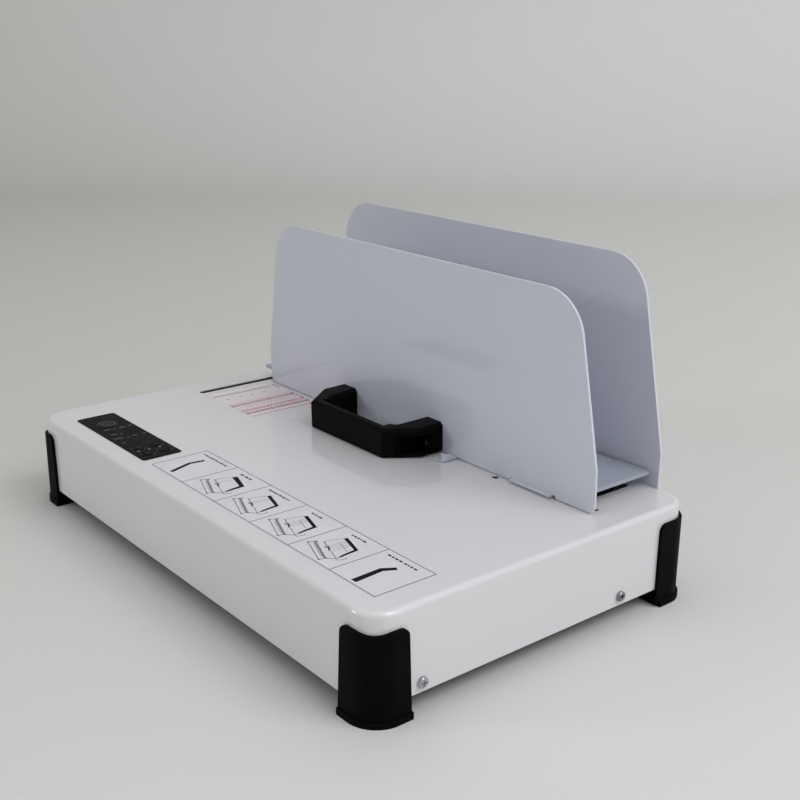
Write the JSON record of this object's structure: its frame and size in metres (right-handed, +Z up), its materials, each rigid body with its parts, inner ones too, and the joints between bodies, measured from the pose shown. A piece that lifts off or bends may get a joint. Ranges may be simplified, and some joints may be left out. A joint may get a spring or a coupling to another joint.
{
  "type": "thermal binding machine",
  "caption": "Desktop thermal binding machine: low sheet-metal case on rubber corner feet, fixed rear guide plate, sliding front plate with handle and heated platen.",
  "frame": {"origin": "centre of the footprint, on the surface that the feet stand on", "axes": "+X right along the front (the longest side), +Y towards the rear guide plate, +Z up"},
  "size_m": [0.3786, 0.2394, 0.194],
  "materials": {
    "painted_steel": "smooth glossy off-white enamel",
    "plate_steel": "glossy off-white powder coat",
    "bumper_rubber": "satin black moulded rubber",
    "handle_plastic": "fine-grained black moulding",
    "zinc_screws": "bright zinc plated",
    "dark_screws": "black oxide",
    "label_film": "white film with thin black line drawings",
    "scale_film": "white film with fine pale red rules",
    "overlay_film": "satin black panel film",
    "key_dark": "dark grey key",
    "key_grey": "grey key",
    "circuit_board": "green solder mask",
    "electronics_black": "moulded",
    "led_lens": "clear lens",
    "nylon": "natural nylon",
    "rod_steel": "ground and polished",
    "zinc_steel": "zinc plated sheet",
    "transformer_core": "varnished laminations and tape",
    "terminal_nylon": "natural nylon",
    "capacitor_sleeve": "dark blue sleeve",
    "port_plastic": "black moulding",
    "rocker_plastic": "black moulding",
    "pin_brass": "bright",
    "platen_metal": "pale coated plate",
    "insulation": "pressed fibre board",
    "heater_mica": "mica sheet",
    "sensor_metal": "drawn can",
    "bearing_block": "milled",
    "bronze": "sintered bronze",
    "lead_sheath": "smooth black sheath"
  },
  "bodies": {
    "case": {"base_plate": "painted_steel", "board_standoffs": "nylon", "bumper_screws": "zinc_screws", "buzzer": "electronics_black", "control_board": "circuit_board", "control_overlay": "overlay_film", "corner_bumper_front_left": "bumper_rubber", "corner_bumper_front_right": "bumper_rubber", "corner_bumper_rear_left": "bumper_rubber", "corner_bumper_rear_right": "bumper_rubber", "cover_screws": "zinc_screws", "filter_capacitors": "capacitor_sleeve", "guide_rod_left": "rod_steel", "guide_rod_right": "rod_steel", "heater_relay": "electronics_black", "indicator_leds": "led_lens", "inlet_housing": "port_plastic", "inlet_pins": "pin_brass", "inlet_screws": "zinc_screws", "instruction_label": "label_film", "key_switches": "electronics_black", "mains_lead": "lead_sheath", "panel_posts": "nylon", "power_board": "circuit_board", "rear_guide_plate": "plate_steel", "rear_plate_screws": "zinc_screws", "rod_brackets": "zinc_steel", "switch_housing": "port_plastic", "terminal_block": "terminal_nylon", "thickness_label": "scale_film", "top_cover": "painted_steel", "transformer": "transformer_core", "travel_stops": "zinc_steel"},
    "carriage": {"front_plate": "plate_steel", "handle": "handle_plastic", "handle_screws": "dark_screws", "clinch_nuts": "zinc_steel", "handle_bracket": "plate_steel", "platen": "platen_metal", "carriage_tray": "plate_steel", "platen_standoffs": "zinc_steel", "insulation_board": "insulation", "heater_element": "heater_mica", "temperature_sensor": "sensor_metal", "thermal_fuse": "sensor_metal", "tray_rivets": "zinc_steel", "carriage_plate": "zinc_steel", "riser_left": "zinc_steel", "riser_right": "zinc_steel", "riser_rivets": "zinc_steel", "bearing_blocks": "bearing_block", "bushings": "bronze", "block_screws": "zinc_screws"},
    "power_key_body": {"power_key": "key_grey"},
    "up_key_body": {"up_key": "key_dark"},
    "down_key_body": {"down_key": "key_dark"},
    "mode_key_body": {"mode_key": "key_dark"},
    "start_key_body": {"start_key": "key_dark"},
    "rocker": {"switch_rocker": "rocker_plastic"}
  },
  "joints": [
    {"name": "carriage_slide", "type": "slide", "parent": "case", "child": "carriage", "axis": [0, -1, 0], "range_m": [0, 0.04]},
    {"name": "power_key_press", "type": "slide", "parent": "case", "child": "power_key_body", "axis": [0, 0, -1], "range_m": [0, 0.0004], "stiffness_N_per_m": 900, "springref_m": -0.0002},
    {"name": "up_key_press", "type": "slide", "parent": "case", "child": "up_key_body", "axis": [0, 0, -1], "range_m": [0, 0.0004], "stiffness_N_per_m": 900, "springref_m": -0.0002},
    {"name": "down_key_press", "type": "slide", "parent": "case", "child": "down_key_body", "axis": [0, 0, -1], "range_m": [0, 0.0004], "stiffness_N_per_m": 900, "springref_m": -0.0002},
    {"name": "mode_key_press", "type": "slide", "parent": "case", "child": "mode_key_body", "axis": [0, 0, -1], "range_m": [0, 0.0004], "stiffness_N_per_m": 900, "springref_m": -0.0002},
    {"name": "start_key_press", "type": "slide", "parent": "case", "child": "start_key_body", "axis": [0, 0, -1], "range_m": [0, 0.0004], "stiffness_N_per_m": 900, "springref_m": -0.0002},
    {"name": "rocker_tip", "type": "hinge", "parent": "case", "child": "rocker", "pos_m": [-0.06, 0.1148, 0.034], "axis": [0, 0, -1], "range_deg": [0, 14]}
  ]
}
